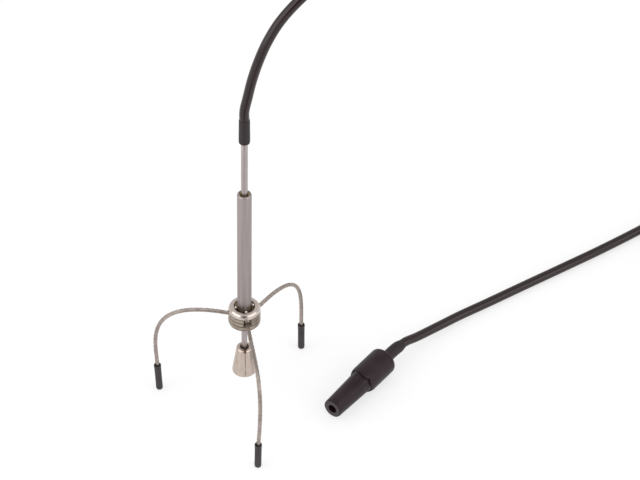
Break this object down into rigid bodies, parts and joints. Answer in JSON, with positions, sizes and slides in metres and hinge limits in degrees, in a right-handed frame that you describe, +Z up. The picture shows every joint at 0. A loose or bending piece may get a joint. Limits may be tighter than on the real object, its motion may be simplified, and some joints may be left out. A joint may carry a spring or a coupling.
{
  "type": "hands-free contact probe",
  "caption": "Hands-free contact probe: a sliding rod in a guide tube on a round collar with wire legs and rubber feet, and a flexible lead ending in a 4 mm line socket.",
  "frame": {"origin": "on the surface that the probe stands on, in the middle of the footprint of the probe without its lead", "axes": "+Z up along the rod and the guide tube; in the picture +X points to the right and +Y away from the viewer"},
  "size_m": [0.2969, 0.1908, 0.2451],
  "materials": {
    "nickel": "polished nickel plate",
    "turned_nickel": "nickel plate, turned finish",
    "cone_nickel": "satin nickel plate with a warm cast",
    "satin_steel": "satin ground steel",
    "wire_steel": "bright stranded wire",
    "ball_steel": "polished steel",
    "brass": "turned brass",
    "dark_steel": "oiled dark steel",
    "sleeve": "matte black shrunk sleeve",
    "socket_plastic": "fine-grained black moulding",
    "foot_rubber": "matte black",
    "lead_pvc": "soft gloss, flexible"
  },
  "bodies": {
    "collar": {"collar_cap": "nickel", "clamp_ring": "turned_nickel", "ball_1": "ball_steel", "ball_2": "ball_steel", "ball_3": "ball_steel", "ball_4": "ball_steel", "lead_coil": "lead_pvc", "lead_tail": "lead_pvc", "socket_sleeve": "sleeve", "socket_body": "socket_plastic", "socket_nose": "socket_plastic", "socket_contact": "brass"},
    "guide": {"guide_tube": "satin_steel", "top_bush": "brass", "lower_bush": "brass"},
    "rod": {"rod": "satin_steel", "boot": "sleeve", "cone": "cone_nickel", "needle_holder": "dark_steel", "needle": "ball_steel", "lead_arch": "lead_pvc"},
    "leg_left": {"leg_left": "wire_steel", "head_left": "dark_steel", "foot_left": "foot_rubber"},
    "leg_right": {"leg_right": "wire_steel", "head_right": "dark_steel", "foot_right": "foot_rubber"},
    "leg_front": {"leg_front": "wire_steel", "head_front": "dark_steel", "foot_front": "foot_rubber"}
  },
  "joints": [
    {"name": "rod_slide", "type": "slide", "parent": "collar", "child": "rod", "axis": [0, 0, 1], "range_m": [-0.0142, 0.0147], "deforming": ["lead_arch"]},
    {"name": "tube_turn", "type": "hinge", "parent": "collar", "child": "guide", "pos_m": [0.00709, 0.00543, 0], "axis": [0, 0, 1], "continuous": true},
    {"name": "leg_swing_left", "type": "hinge", "parent": "collar", "child": "leg_left", "pos_m": [0.00188, 0.00607, 0.0512], "axis": [0, 0, 1], "range_deg": [-28.6, 27.4]},
    {"name": "leg_swing_right", "type": "hinge", "parent": "collar", "child": "leg_right", "pos_m": [0.01157, 0.00818, 0.0512], "axis": [0, 0, 1], "range_deg": [-52.2, 3.8]},
    {"name": "leg_swing_front", "type": "hinge", "parent": "collar", "child": "leg_front", "pos_m": [0.00845, 0.00036, 0.0512], "axis": [0, 0, 1], "range_deg": [-22.1, 33.9]}
  ]
}
